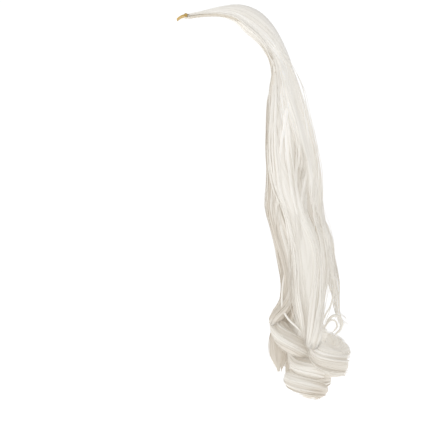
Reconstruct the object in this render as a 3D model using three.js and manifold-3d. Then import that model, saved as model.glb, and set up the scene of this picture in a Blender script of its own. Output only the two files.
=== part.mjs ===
// A ponytail hairpiece: a metal comb, a cloth tab that lies on the crown of the head, and a long fall of
// wavy hair with ringlets at its ends. Millimetres, +Z up. The wearer faces -Y, so the hair goes back
// along +Y and down along -Z, and +X is the wearer's left. The origin is on the crown, where the tab sits.
import * as THREE from "three";
import { LoftGeometry } from "three/addons/geometries/LoftGeometry.js";
import { mergeVertices } from "three/addons/utils/BufferGeometryUtils.js";
import Module from "manifold-3d";

const wasm = await Module();
wasm.setup();

// Rows of numbers as objects with one named value for each column.
const table = (columns, ...rows) =>
  rows.map((row) => Object.fromEntries(columns.map((name, i) => [name, row[i]])));

// Driving dimensions

// The head under the piece, as the half axes of a dome: it is longer in front of the crown than behind it.
const HEAD = { halfBreadth: 72, rise: 76, reachFront: 140, reachBack: 69, sidesRound: 56, sidesDown: 38 };
const CLEARANCE = 0.3; // between two pieces that are sewn together

const TAB = { thickness: 1.6, acrossSteps: 6 };
// The tab's outline: degrees along the dome from the crown, negative in front, and its half width there.
const TAB_OUTLINE = table(
  ["angle", "halfWidth"],
  [-19.6, 10.5],
  [-18.6, 12],
  [-9, 13],
  [2, 17],
  [16, 21],
  [30, 18],
  [36, 11],
);

const COMB = {
  width: 30,
  barRadius: 1.8,
  barSides: 12,
  barY: -49,
  barZ: -2,
  teeth: 9,
  toothRoot: 1.05, // radius of the wire at the bar
  toothTip: 0.85,
  toothReach: 12.2, // forward from the bar's middle
  toothFall: 5.4,
  toothArch: 1.5, // how far a tooth bows up between its ends
  toothSides: 6,
  toothSteps: 4,
};

// The whole fall, section by section from the front edge to the ends: the middle of its profile, how deep
// it is there from the head side to the outer side, how wide across, and how far its edges hang down
// round the head.
const SECTIONS = table(
  ["y", "z", "depth", "width", "sag"],
  [-45, -0.6, 3.4, 20, 2],
  [-23, 2.9, 5, 27, 3],
  [0, 6, 8.4, 42, 7],
  [23, 5.2, 15, 58, 17],
  [45, -4.5, 18, 72, 24],
  [64, -26, 20, 70, 21],
  [78.5, -58, 23, 60, 12],
  [86, -86, 31, 58, 5],
  [87, -118, 43, 66, 1],
  [91, -160, 62, 78, 0],
  [96, -212, 72, 90, 0],
  [98, -260, 76, 96, 0],
  [111, -308, 76, 100, 0],
  [119, -360, 74, 102, 0],
  [113, -408, 74, 104, 0],
  [112, -456, 70, 106, 0],
  [112, -500, 66, 106, 0],
);

const HEART = { sides: 28, ribs: 14, ribDepth: 0.035, steps: 24 };
// How much of the section the gathered head of hair fills: all of it on the crown, less inside the locks.
const HEART_FILL = table(
  ["at", "fill"],
  [0, 1],
  [5, 0.97],
  [7, 0.88],
  [9, 0.76],
  [12, 0.64],
  [13, 0.3],
);

const LOCK = {
  sides: 8,
  fallSteps: 17,
  rootWidth: 0.6, // share of the first row's width
  rootThick: 0.55, // share of the full thickness, which it reaches some way down
  fullThickAt: 0.3,
};
const RINGLET = {
  stepsPerTurn: 12,
  axisFollows: 0.3, // how much of the lock's own way its axis keeps, added to straight down
  leanOver: [-0.12, 0.2], // the turns over which the lock leans into its ring
  thick: 0.75, // share of the lock's thickness
  tipSize: 0.3,
};
// Where the locks leave the gathered hair, in rows of its sections, and how far out of its middle.
const ROOTS = table(["at", "out"], [3.8, 0.1], [4.8, 0.36], [5.8, 0.5]);
const PATH = ["y", "z", "x", "width", "face"];
// The locks. Each path goes down the fall with the lock's full width, and the way its flat side faces: 0 to
// the wearer's left, 90 outwards, 180 to the right, -90 to the head. Past its last row a lock winds into a
// ringlet: the radius of its middle line, its turns, its slope, where 90 would be a flat ring, the share of
// the radius that it loses by its end, and the share of its length where its tip starts.
const MAIN_LOCK = {
  thick: 17,
  path: table(
    PATH,
    [76, -105, 24, 26, 0],
    [81, -154, 32, 40, 0],
    [83, -195, 38, 46, 0],
    [89, -233, 41, 40, 0],
    [98, -270, 43, 29, 0],
    [109, -313, 45, 41, 0],
    [114, -375, 45, 43, 0],
    [118, -416, 42, 36, -35],
    [122, -448, 30, 36, -90],
  ),
  ringlet: { radius: 25, turns: 1.1, slope: 75, tightens: 0.25, tipFrom: 0.4 },
};
const OUTER_LOCK = {
  thick: 16,
  path: table(
    PATH,
    [91, -100, 20, 30, 40],
    [101, -137, 26, 33, 40],
    [110, -171, 33, 31, 40],
    [117, -205, 36, 27, 35],
    [121, -239, 33, 24, 25],
    [121, -270, 30, 26, 20],
    [127, -307, 32, 30, 30],
    [130, -347, 32, 30, 40],
    [127, -390, 24, 24, 20],
    [125, -420, 14, 22, 0],
  ),
  ringlet: { radius: 20, turns: 1.1, slope: 72, tightens: 0.25, tipFrom: 0.4 },
};
const BACK_LOCK = {
  thick: 15,
  path: table(
    PATH,
    [96, -116, 8, 34, 80],
    [110, -160, 4, 34, 80],
    [121, -203, 8, 34, 80],
    [127, -252, 16, 34, 80],
    [131, -282, 19, 32, 75],
    [141, -307, 17, 30, 70],
    [145, -334, 12, 28, 70],
    [151, -358, 8, 17, 45],
    [156, -388, 8, 7, 10],
    [158, -411, 10, 5, 0],
  ),
  ringlet: { radius: 15, turns: 0.9, slope: 65, tightens: 0.25, tipFrom: 0.4 },
};
const NECK_LOCK = {
  thick: 15,
  path: table(
    PATH,
    [72, -112, 16, 24, -50],
    [69, -171, 24, 24, -50],
    [71, -225, 29, 24, -45],
    [70, -259, 27, 26, -40],
    [78, -293, 26, 26, -40],
    [88, -328, 29, 24, -40],
    [93, -361, 31, 22, -45],
    [88, -388, 29, 24, -60],
    [77, -404, 22, 26, -80],
    [71, -416, 14, 28, -90],
  ),
  ringlet: { radius: 30, turns: 1.0, slope: 70, tightens: 0.25, tipFrom: 0.4 },
};
const HANGING_LOCK = {
  thick: 13,
  path: table(
    PATH,
    [68, -130, 3, 22, -90],
    [67, -198, -4, 24, -90],
    [69, -266, 3, 24, -90],
    [80, -320, 8, 22, -90],
    [88, -368, 4, 22, -80],
    [82, -409, -2, 22, -60],
    [75, -440, 6, 22, -30],
    [75, -467, 12, 21, 0],
    [77, -488, 14, 12, 20],
  ),
};
const INNER_LOCK = {
  thick: 16,
  path: table(
    PATH,
    [84, -130, 7, 30, 0],
    [95, -198, 14, 34, 0],
    [101, -273, 6, 34, 0],
    [110, -341, 10, 36, 0],
    [110, -400, 18, 37, -20],
    [102, -441, 16, 28, -60],
    [95, -464, 12, 24, -90],
  ),
  ringlet: { radius: 22, turns: 1.9, slope: 81, tightens: -0.2, tipFrom: 0.85 },
};

// The right side repeats the left, turned over and moved a little so that the two don't match.
const LOCKS = [
  MAIN_LOCK,
  OUTER_LOCK,
  BACK_LOCK,
  NECK_LOCK,
  HANGING_LOCK,
  INNER_LOCK,
  turnedOver(MAIN_LOCK, 4, 12),
  turnedOver(OUTER_LOCK, -5, -14),
  turnedOver(BACK_LOCK, -3, 10),
  turnedOver(NECK_LOCK, 14, 6),
  turnedOver(INNER_LOCK, 5, 14),
];

function turnedOver(lock, back, up) {
  const path = lock.path.map((row) => ({
    ...row,
    y: row.y + back,
    z: row.z + up,
    x: -row.x,
    face: 180 - row.face,
  }));
  return { ...lock, path, mirrored: true };
}

const COLOURS = { hair: 0xe9e3d8, tab: 0xe6dccb, comb: 0xc79a3f };

// The dome of the head

const radians = THREE.MathUtils.degToRad;

// A point of the head's dome: an angle along the middle line, a distance across it, and a lift off it.
function domePoint(angle, across, lift) {
  const along = radians(angle);
  const side = Math.asin(across / HEAD.halfBreadth);
  const reach = angle < 0 ? HEAD.reachFront : HEAD.reachBack;
  const unit = new THREE.Vector3(
    Math.sin(side),
    Math.sin(along) * Math.cos(side),
    Math.cos(along) * Math.cos(side),
  );
  const axes = new THREE.Vector3(HEAD.halfBreadth, reach, HEAD.rise);
  const normal = unit.clone().divide(axes).normalize();
  return unit.multiply(axes).sub(new THREE.Vector3(0, 0, HEAD.rise)).addScaledVector(normal, lift);
}

// The head as a solid grown by a lift, to cut the hollow that the head fills.
function headForm(lift) {
  const dome = new THREE.SphereGeometry(1, HEAD.sidesRound, HEAD.sidesDown);
  const position = dome.getAttribute("position");
  for (let i = 0; i < position.count; i++) {
    const y = position.getY(i);
    const reach = y < 0 ? HEAD.reachFront : HEAD.reachBack;
    position.setXYZ(
      i,
      position.getX(i) * (HEAD.halfBreadth + lift),
      y * (reach + lift),
      position.getZ(i) * (HEAD.rise + lift) - HEAD.rise,
    );
  }
  return dome;
}

// Solids for joining and cutting

function solidOf(geometry) {
  const bare = new THREE.BufferGeometry();
  bare.setAttribute("position", geometry.getAttribute("position"));
  bare.setIndex(geometry.index);
  const merged = mergeVertices(bare, 1e-4);
  const corners = merged.index.array;
  const triVerts = [];
  for (let i = 0; i < corners.length; i += 3) {
    const [a, b, c] = corners.slice(i, i + 3);
    if (a !== b && b !== c && c !== a) triVerts.push(a, b, c);
  }
  return new wasm.Manifold(
    new wasm.Mesh({
      numProp: 3,
      vertProperties: merged.getAttribute("position").array,
      triVerts: new Uint32Array(triVerts),
    }),
  );
}

function geometryOf(solid) {
  const made = solid.getMesh();
  const geometry = new THREE.BufferGeometry();
  geometry.setAttribute("position", new THREE.BufferAttribute(made.vertProperties, 3));
  geometry.setIndex(new THREE.BufferAttribute(made.triVerts, 1));
  geometry.computeVertexNormals();
  return geometry;
}

const joined = (solids) => solids.reduce((whole, solid) => whole.add(solid));

const capped = (rings) => new LoftGeometry(rings, { capStart: true, capEnd: true });

// The fall's sections as smooth curves through the table

const spine = new THREE.CatmullRomCurve3(SECTIONS.map((row) => new THREE.Vector3(0, row.y, row.z)));
const girth = new THREE.CatmullRomCurve3(
  SECTIONS.map((row) => new THREE.Vector3(row.depth, row.width, row.sag)),
);
const LAST = SECTIONS.length - 1;

// The frame of the section at a place counted in table rows: its middle, outward direction and sizes.
function sectionAt(place) {
  const share = THREE.MathUtils.clamp(place / LAST, 0, 1);
  const tangent = spine.getTangent(share);
  const size = girth.getPoint(share);
  return {
    middle: spine.getPoint(share),
    outward: new THREE.Vector3(0, -tangent.z, tangent.y),
    depth: size.x,
    width: size.y,
    sag: size.z,
  };
}

// A point of the fall: its place along it, and its shares of the half width and half depth there.
function fallPoint(place, across, deep) {
  const section = sectionAt(place);
  const lift = (deep * section.depth) / 2 - section.sag * across * across;
  const point = section.middle.addScaledVector(section.outward, lift);
  point.x += (across * section.width) / 2;
  return point;
}

// A value of a table column, read between rows by a second column.
function between(rows, key, value, at) {
  const next = Math.max(1, rows.findIndex((row) => row[key] >= at));
  const [a, b] = [rows[next - 1], rows[next]];
  return THREE.MathUtils.mapLinear(at, a[key], b[key], a[value], b[value]);
}

// Hair

// The gathered head of hair that carries the locks: ribbed where it shows on the crown.
function heart() {
  const last = HEART_FILL.at(-1).at;
  const rings = [];
  for (let i = 0; i <= HEART.steps; i++) {
    const place = (last * i) / HEART.steps;
    const fill = between(HEART_FILL, "at", "fill", place);
    const ring = [];
    for (let j = 0; j < HEART.sides; j++) {
      const turn = (-2 * Math.PI * j) / HEART.sides;
      const rib = fill * (1 + HEART.ribDepth * Math.cos(HEART.ribs * turn));
      ring.push(fallPoint(place, rib * Math.cos(turn), rib * Math.sin(turn)));
    }
    rings.push(ring);
  }
  return capped(rings);
}

const LEFT = new THREE.Vector3(1, 0, 0);
const DOWN = new THREE.Vector3(0, 0, -1);

// A frame of a lock: a point, the way along, the way its flat side faces, the way across, and its sizes.
const frameOf = (point, along, out, width, thick) => ({
  point,
  along,
  out,
  across: out.clone().cross(along),
  width,
  thick,
});

// A lock's frames: from its root in the gathered hair down its path, then round its ringlet.
function lockFrames(lock) {
  const first = lock.path[0];
  const roots = ROOTS.map((root) => {
    const turn = radians(first.face);
    const point = fallPoint(root.at, root.out * Math.cos(turn), root.out * Math.sin(turn));
    return { x: point.x, y: point.y, z: point.z, width: first.width * LOCK.rootWidth, face: first.face };
  });
  const rows = [...roots, ...lock.path];
  const path = new THREE.CatmullRomCurve3(rows.map((row) => new THREE.Vector3(row.x, row.y, row.z)));
  const sizes = new THREE.CatmullRomCurve3(rows.map((row) => new THREE.Vector3(row.width, row.face, 0)));
  const frames = [];
  for (let i = 0; i <= LOCK.fallSteps; i++) {
    const share = i / LOCK.fallSteps;
    const along = path.getTangentAt(share);
    const size = sizes.getPoint(path.getUtoTmapping(share));
    const outward = LEFT.clone().cross(along).normalize();
    const out = along
      .clone()
      .cross(outward)
      .multiplyScalar(Math.cos(radians(size.y)))
      .addScaledVector(outward, Math.sin(radians(size.y)));
    const grown = THREE.MathUtils.smoothstep(share, 0, LOCK.fullThickAt);
    const thick = lock.thick * THREE.MathUtils.lerp(LOCK.rootThick, 1, grown);
    frames.push(frameOf(path.getPointAt(share), along, out, size.x, thick));
  }
  return lock.ringlet ? frames.concat(ringletFrames(frames.at(-1), lock)) : frames;
}

// A ringlet: the lock winds round an upright axis on its inner side, sloping more and more to the ring.
function ringletFrames(start, lock) {
  const { radius, turns, slope, tightens, tipFrom } = lock.ringlet;
  const steps = Math.round(RINGLET.stepsPerTurn * turns);
  const stepTurn = (2 * Math.PI * turns) / steps;
  const way = lock.mirrored ? 1 : -1;
  const axis = start.along.clone().multiplyScalar(RINGLET.axisFollows).add(DOWN).normalize();
  const radial = start.out.clone().projectOnPlane(axis).normalize();
  const point = start.point.clone();
  const frames = [];
  for (let i = 1; i <= steps; i++) {
    const share = i / steps;
    const lean = radians(slope) * THREE.MathUtils.smoothstep(share * turns, ...RINGLET.leanOver);
    const out = radial.clone().applyAxisAngle(axis, way * i * stepTurn);
    const round = axis.clone().cross(out).multiplyScalar(way);
    const along = axis.clone().multiplyScalar(Math.cos(lean)).addScaledVector(round, Math.sin(lean));
    point.addScaledVector(along, radius * (1 - tightens * share) * stepTurn);
    const tip = THREE.MathUtils.smoothstep(share, tipFrom, 1);
    const drawn = THREE.MathUtils.lerp(1, RINGLET.tipSize, tip);
    const thick = start.thick * RINGLET.thick * drawn;
    frames.push(frameOf(point.clone(), along, out, start.width * drawn, thick));
  }
  return frames;
}

// One lock: a flattened section carried along its frames.
function lockGeometry(lock) {
  const rings = lockFrames(lock).map((frame) => {
    const ring = [];
    for (let j = 0; j < LOCK.sides; j++) {
      const turn = (2 * Math.PI * (j + 0.5)) / LOCK.sides;
      ring.push(
        frame.point
          .clone()
          .addScaledVector(frame.across, (frame.width / 2) * Math.cos(turn))
          .addScaledVector(frame.out, (frame.thick / 2) * Math.sin(turn)),
      );
    }
    return ring;
  });
  return capped(rings);
}

// The locks fused to the gathered hair, hollowed where the head goes, with any closed pocket filled.
function hairGeometry() {
  const locks = LOCKS.map((lock) => solidOf(lockGeometry(lock)));
  const whole = joined([solidOf(heart()), ...locks]);
  const seated = whole.subtract(solidOf(headForm(TAB.thickness + CLEARANCE)));
  const filled = seated.decompose().filter((body) => body.volume() > 0);
  return geometryOf(filled.reduce((a, b) => (a.volume() > b.volume() ? a : b)));
}

// The cloth tab

function tabGeometry() {
  const rings = TAB_OUTLINE.map(({ angle, halfWidth }) => {
    const across = (k) => halfWidth * ((2 * k) / TAB.acrossSteps - 1);
    const ring = [];
    for (let k = 0; k <= TAB.acrossSteps; k++) ring.push(domePoint(angle, across(k), 0));
    for (let k = TAB.acrossSteps; k >= 0; k--) ring.push(domePoint(angle, across(k), TAB.thickness));
    return ring.reverse();
  });
  return capped(rings);
}

// The comb

// A tooth, from the middle of the bar forward and down, bowed up like the head under it.
function toothGeometry(x) {
  const rings = [];
  for (let i = 0; i <= COMB.toothSteps; i++) {
    const share = i / COMB.toothSteps;
    const radius = THREE.MathUtils.lerp(COMB.toothRoot, COMB.toothTip, share);
    const y = COMB.barY - COMB.toothReach * share;
    const z = COMB.barZ - COMB.toothFall * share + COMB.toothArch * Math.sin(Math.PI * share);
    const ring = [];
    for (let j = 0; j < COMB.toothSides; j++) {
      const turn = (2 * Math.PI * j) / COMB.toothSides;
      ring.push(new THREE.Vector3(x + radius * Math.cos(turn), y, z + radius * Math.sin(turn)));
    }
    rings.push(ring);
  }
  return capped(rings);
}

function combGeometry() {
  const bar = new THREE.CylinderGeometry(COMB.barRadius, COMB.barRadius, COMB.width, COMB.barSides)
    .rotateZ(Math.PI / 2)
    .translate(0, COMB.barY, COMB.barZ);
  const pitch = (COMB.width - 2 * COMB.barRadius) / (COMB.teeth - 1);
  const teeth = [];
  for (let i = 0; i < COMB.teeth; i++) {
    teeth.push(solidOf(toothGeometry(pitch * (i - (COMB.teeth - 1) / 2))));
  }
  return geometryOf(joined([solidOf(bar), ...teeth]));
}

// The assembly

function piece(name, geometry, colour, roughness, metalness) {
  const material = new THREE.MeshStandardMaterial({ color: colour, roughness, metalness });
  const mesh = new THREE.Mesh(geometry, material);
  mesh.name = name;
  return mesh;
}

const ponytail = new THREE.Group();
ponytail.add(
  piece("hair", hairGeometry(), COLOURS.hair, 0.45, 0),
  piece("base_tab", tabGeometry(), COLOURS.tab, 0.9, 0),
  piece("comb", combGeometry(), COLOURS.comb, 0.3, 1),
);

export default ponytail;
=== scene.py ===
import bpy
import numpy as np
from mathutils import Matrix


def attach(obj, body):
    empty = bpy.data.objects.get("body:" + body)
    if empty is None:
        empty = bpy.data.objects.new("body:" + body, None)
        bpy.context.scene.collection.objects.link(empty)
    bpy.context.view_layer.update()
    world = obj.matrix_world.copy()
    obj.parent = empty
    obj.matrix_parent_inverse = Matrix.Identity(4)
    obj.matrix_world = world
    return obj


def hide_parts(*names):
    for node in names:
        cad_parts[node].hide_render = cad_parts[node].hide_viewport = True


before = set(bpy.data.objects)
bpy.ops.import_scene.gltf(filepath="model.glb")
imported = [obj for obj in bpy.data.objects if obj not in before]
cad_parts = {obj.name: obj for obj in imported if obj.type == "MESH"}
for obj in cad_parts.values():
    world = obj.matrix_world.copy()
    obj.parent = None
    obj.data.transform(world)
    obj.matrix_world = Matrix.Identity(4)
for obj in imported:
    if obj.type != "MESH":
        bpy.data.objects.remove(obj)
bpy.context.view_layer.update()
rng = np.random.default_rng(11)
mm = 0.001
print("frame loaded:", sorted(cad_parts))


# Curves and vectors

# Each row divided by its own length.
def unit(vectors):
    return vectors / np.maximum(np.linalg.norm(vectors, axis=-1, keepdims=True), 1e-9)


# 0 at the first value, 1 at the second, and an even S between them.
def smooth(value, first, second):
    share = np.clip((value - first) / (second - first), 0, 1)
    return share * share * (3 - 2 * share)


# A curve through rows of numbers: cubic pieces whose slope at a row is half the step between
# its neighbours.
def through(rows, at):
    rows = np.asarray(rows, float)
    ends = np.vstack([2 * rows[0] - rows[1], rows, 2 * rows[-1] - rows[-2]])
    row = np.clip(np.floor(at).astype(int), 0, len(rows) - 2)
    part = (at - row)[..., None]
    a, b, c, d = (ends[row + k] for k in range(4))
    return b + part / 2 * (c - a + part * (2 * a - 5 * b + 4 * c - d + part * (3 * (b - c) + d - a)))


# Every column of a course's table read at lengths between its rows, by straight lines.
def readAt(course, at):
    return np.stack([np.interp(at, course["length"], column) for column in course["table"].T], axis=-1)


# A vector square to an axis, turned about it by each angle: the cosine of itself and the sine of
# the axis crossed with it.
def turned(vector, axis, angles):
    angles = angles[:, None]
    return vector * np.cos(angles) + np.cross(axis, vector) * np.sin(angles)


# From low to 1 by a share.
def upFrom(low, share):
    return low + (1 - low) * share


# The length of a polyline up to each of its points.
def lengthAlong(points):
    return np.concatenate([[0], np.cumsum(np.linalg.norm(np.diff(points, axis=0), axis=1))])


# Angles once round a ring.
def roundTurn(sides):
    return 2 * np.pi * np.arange(sides) / sides


# Meshes

# A piece of closed tubes from rings, which are tubes by steps by sides by xyz. Each ring joins the
# next one, and a face closes the first and the last. The map runs once round and, along, in metres,
# with a stretch of its own for each tube, and each point has a tone, which carries painted shade and
# light.
ownStretch = 0.7


def tubes(name, rings, toneAndShade, material):
    count, steps, sides = rings.shape[:3]
    number = np.arange(count * steps * sides).reshape(count, steps, sides)
    nextRound = np.roll(number, -1, axis=2)
    quads = np.stack(
        [number[:, :-1], nextRound[:, :-1], nextRound[:, 1:], number[:, 1:]], axis=-1
    ).reshape(-1, 4)
    ends = np.concatenate([number[:, 0, ::-1], number[:, -1]])
    middle = rings.mean(axis=2)
    step = np.linalg.norm(np.diff(middle, axis=1), axis=-1)
    along = np.concatenate([np.zeros((count, 1)), np.cumsum(step, axis=1)], axis=1) * mm
    along = along + ownStretch * np.arange(count)[:, None]
    shape = (count, steps - 1, sides)
    low = np.broadcast_to(along[:, :-1, None], shape)
    high = np.broadcast_to(along[:, 1:, None], shape)
    left = np.broadcast_to(np.arange(sides) / sides, shape)
    right = left + 1 / sides
    quadMap = np.stack([left, low, right, low, right, high, left, high], axis=-1).reshape(-1, 2)
    uv = np.concatenate([quadMap, np.zeros((ends.size, 2))])
    corners = np.concatenate([quads.ravel(), ends.ravel()])
    starts = np.concatenate([np.arange(len(quads)) * 4, quads.size + np.arange(len(ends)) * sides])
    mesh = bpy.data.meshes.new(name)
    mesh.vertices.add(number.size)
    mesh.vertices.foreach_set("co", (rings * mm).astype(np.float32).ravel())
    mesh.loops.add(len(corners))
    mesh.loops.foreach_set("vertex_index", corners.astype(np.int32))
    mesh.polygons.add(len(starts))
    mesh.polygons.foreach_set("loop_start", starts.astype(np.int32))
    mesh.polygons.foreach_set("use_smooth", np.ones(len(starts), bool))
    mesh.uv_layers.new(name="strandMap").data.foreach_set("uv", uv.astype(np.float32).ravel())
    shades = np.broadcast_to(toneAndShade, number.shape).astype(np.float32).ravel()
    mesh.attributes.new("toneAndShade", "FLOAT", "POINT").data.foreach_set("value", shades)
    mesh.update(calc_edges=True)
    mesh.validate()
    mesh.materials.append(material)
    piece = bpy.data.objects.new(name, mesh)
    bpy.context.scene.collection.objects.link(piece)
    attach(piece, "root")
    return piece


# Rings round paths: ovals of the given half sizes across and out.
def ovalRings(path, across, out, halfAcross, halfOut, sides):
    turn = 2 * np.pi * (np.arange(sides) + 0.5) / sides
    wide = across[..., None, :] * (halfAcross[..., None] * np.cos(turn))[..., None]
    deep = out[..., None, :] * (halfOut[..., None] * np.sin(turn))[..., None]
    return path[..., None, :] + wide + deep


# Round rings of one size along paths, with the way out of each path given.
def wireRings(path, out, half, sides):
    tangent = unit(np.gradient(path, axis=1))
    size = np.full(path.shape[:2], half)
    return ovalRings(path, np.cross(out, tangent), out, size, size, sides)


# The dome under the crown, and the whole fall

dome = {"breadth": 72, "rise": 76, "front": 140, "back": 69}
domeTop = np.array([0, 0, dome["rise"]])


# The dome's half axes at places before or behind its top, grown by a lift.
def domeAxes(before, lift):
    reach = np.where(before, dome["front"], dome["back"]) + lift
    across = np.full_like(reach, dome["breadth"] + lift)
    return np.stack([across, reach, np.full_like(reach, dome["rise"] + lift)], axis=-1)


# Points pushed out of the dome: along the line from its centre, to its surface grown by a lift.
def offDome(points, lift):
    offset = points + domeTop
    axes = domeAxes(points[..., 1] < 0, lift)
    share = np.linalg.norm(offset / axes, axis=-1, keepdims=True)
    return offset / np.clip(share, 1e-6, 1) - domeTop


# Sections of the fall from the front edge to the ends: y and z of the middle, depth, width, and how
# far the edges hang down round the dome.
fallSections = np.array([
    (-45, -0.6, 3.4, 20, 2), (-23, 2.9, 5, 27, 3), (0, 6, 8.4, 42, 7),
    (23, 5.2, 15, 58, 17), (45, -4.5, 18, 72, 24), (64, -26, 20, 70, 21),
    (78.5, -58, 23, 60, 12), (86, -86, 31, 58, 5), (87, -118, 43, 66, 1),
    (91, -160, 62, 78, 0), (96, -212, 72, 90, 0), (98, -260, 76, 96, 0),
    (111, -308, 76, 100, 0), (119, -360, 74, 102, 0), (113, -408, 74, 104, 0),
    (112, -456, 70, 106, 0), (112, -500, 66, 106, 0),
], float)
lastSection = len(fallSections) - 1


# Points of the fall: the section's middle, moved across by a share of the half width, and outwards
# by a share of the half depth less the sag, which grows with the square of the way across.
nearBy = 0.02


def fallPoint(place, across, deep):
    place = np.clip(place, 0, lastSection)
    y, z, depth, width, sag = np.moveaxis(through(fallSections, place), -1, 0)
    before, after = (through(fallSections, place + step)[..., :2] for step in (-nearBy, nearBy))
    along = unit(after - before)
    lift = deep * depth / 2 - sag * across * across
    return np.stack([across * width / 2, y - along[..., 1] * lift, z + along[..., 0] * lift], axis=-1)


# Locks

# Each path goes down the fall: y, z, x, the lock's full width, and the way its flat side faces in
# degrees, 0 to the left and 90 outwards. The ringlet is its radius, turns, slope, the share
# of the radius that it loses by its end, and the share of its length where its tip starts.
locks = {
    "main": {"thick": 17, "ringlet": (25, 1.1, 75, 0.25, 0.4), "path": [
        (76, -105, 24, 26, 0), (81, -154, 32, 40, 0), (83, -195, 38, 46, 0), (89, -233, 41, 40, 0),
        (98, -270, 43, 29, 0), (109, -313, 45, 41, 0), (114, -375, 45, 43, 0),
        (118, -416, 42, 36, -35), (122, -448, 30, 36, -90),
    ]},
    "outer": {"thick": 16, "ringlet": (20, 1.1, 72, 0.25, 0.4), "path": [
        (91, -100, 20, 30, 40), (101, -137, 26, 33, 40), (110, -171, 33, 31, 40),
        (117, -205, 36, 27, 35), (121, -239, 33, 24, 25), (121, -270, 30, 26, 20),
        (127, -307, 32, 30, 30), (130, -347, 32, 30, 40), (127, -390, 24, 24, 20),
        (125, -420, 14, 22, 0),
    ]},
    "back": {"thick": 15, "ringlet": (15, 0.9, 65, 0.25, 0.4), "path": [
        (96, -116, 8, 34, 80), (110, -160, 4, 34, 80), (121, -203, 8, 34, 80),
        (127, -252, 16, 34, 80), (131, -282, 19, 32, 75), (141, -307, 17, 30, 70),
        (145, -334, 12, 28, 70), (151, -358, 8, 17, 45), (156, -388, 8, 7, 10),
        (158, -411, 10, 5, 0),
    ]},
    "neck": {"thick": 15, "ringlet": (30, 1.0, 70, 0.25, 0.4), "path": [
        (72, -112, 16, 24, -50), (69, -171, 24, 24, -50), (71, -225, 29, 24, -45),
        (70, -259, 27, 26, -40), (78, -293, 26, 26, -40), (88, -328, 29, 24, -40),
        (93, -361, 31, 22, -45), (88, -388, 29, 24, -60), (77, -404, 22, 26, -80),
        (71, -416, 14, 28, -90),
    ]},
    "hanging": {"thick": 13, "ringlet": None, "path": [
        (68, -130, 3, 22, -90), (67, -198, -4, 24, -90), (69, -266, 3, 24, -90),
        (80, -320, 8, 22, -90), (88, -368, 4, 22, -80), (82, -409, -2, 22, -60),
        (75, -440, 6, 22, -30), (75, -467, 12, 21, 0), (77, -488, 14, 12, 20),
    ]},
    "inner": {"thick": 16, "ringlet": (22, 1.9, 81, -0.2, 0.85), "path": [
        (84, -130, 7, 30, 0), (95, -198, 14, 34, 0), (101, -273, 6, 34, 0), (110, -341, 10, 36, 0),
        (110, -400, 18, 37, -20), (102, -441, 16, 28, -60), (95, -464, 12, 24, -90),
    ]},
}
# The right side repeats the left, turned over and moved back and up a little.
turnedOver = {"main": (4, 12), "outer": (-5, -14), "back": (-3, 10), "neck": (14, 6), "inner": (5, 14)}
lockShape = {
    "rootPlace": np.array([3.8, 4.8, 5.8]), "rootOut": np.array([0.1, 0.36, 0.5]),
    "rootWidth": 0.6, "rootThick": 0.55, "fullThickAt": 0.3, "samples": 260, "ringSamples": 180,
    "axisFollows": 0.3, "leanOver": (-0.12, 0.2), "ringThick": 0.75, "tipSize": 0.3,
}

# Columns of the table of a course: its middle, the way along, the way it faces, its width and
# thickness, and how far off the axis of its ringlet is.
pointAt = slice(0, 3)
alongAt = slice(3, 6)
facingAt = slice(6, 9)
widthAt = 9
thickAt = 10
curlAt = 11


# The same lock on the other side: x changes sign, and its face turns too.
def turnOver(lock, back, up):
    path = [(y + back, z + up, -x, width, 180 - face) for y, z, x, width, face in lock["path"]]
    return {**lock, "path": path, "mirrored": True}


# A lock's course, sampled along. It follows a curve through its roots and path, then winds about an
# axis that is mostly straight down.
def lockCourse(lock):
    shape = lockShape
    path = np.array(lock["path"], float)[:, [2, 0, 1, 3, 4]]
    firstWidth, firstFace = path[0, 3:]
    face = np.radians(firstFace)
    rootOut = shape["rootOut"]
    roots = fallPoint(shape["rootPlace"], rootOut * np.cos(face), rootOut * np.sin(face))
    rootSizes = np.full((len(roots), 2), (firstWidth * shape["rootWidth"], firstFace))
    rows = np.vstack([np.hstack([roots, rootSizes]), path])
    dense = through(rows, np.linspace(0, len(rows) - 1, shape["samples"]))
    point = dense[:, :3]
    along = unit(np.gradient(point, axis=0))
    outward = unit(np.cross((1, 0, 0), along))
    side = np.cross(along, outward)
    turn = np.radians(dense[:, 4:])
    out = side * np.cos(turn) + outward * np.sin(turn)
    grown = smooth(np.linspace(0, 1, len(dense)), 0, shape["fullThickAt"])
    thick = lock["thick"] * upFrom(shape["rootThick"], grown)
    width = dense[:, 3]
    curl = np.zeros(len(dense))
    if lock["ringlet"]:
        radius, turns, slope, tightens, tipFrom = lock["ringlet"]
        share = np.arange(1, shape["ringSamples"] + 1) / shape["ringSamples"]
        way = 1 if lock.get("mirrored") else -1
        axis = unit(along[-1] * shape["axisFollows"] + np.array([0, 0, -1]))
        radial = unit(out[-1] - axis * (out[-1] @ axis))
        ringOut = turned(radial, axis, way * 2 * np.pi * turns * share)
        lean = (np.radians(slope) * smooth(share * turns, *shape["leanOver"]))[:, None]
        ringAlong = axis * np.cos(lean) + np.cross(axis, ringOut) * way * np.sin(lean)
        ring = radius * (1 - tightens * share)
        step = ring * 2 * np.pi * turns / len(share)
        drawn = upFrom(shape["tipSize"], 1 - smooth(share, tipFrom, 1))
        point = np.vstack([point, point[-1] + np.cumsum(ringAlong * step[:, None], axis=0)])
        along = np.vstack([along, ringAlong])
        out = np.vstack([out, ringOut])
        width = np.concatenate([width, width[-1] * drawn])
        thick = np.concatenate([thick, thick[-1] * shape["ringThick"] * drawn])
        curl = np.concatenate([curl, ring * np.sin(lean[:, 0])])
    length = lengthAlong(point)
    table = np.hstack([point, along, out, width[:, None], thick[:, None], curl[:, None]])
    return {"length": length, "table": table, "face": firstFace, "fallEnd": length[len(dense) - 1]}


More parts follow.
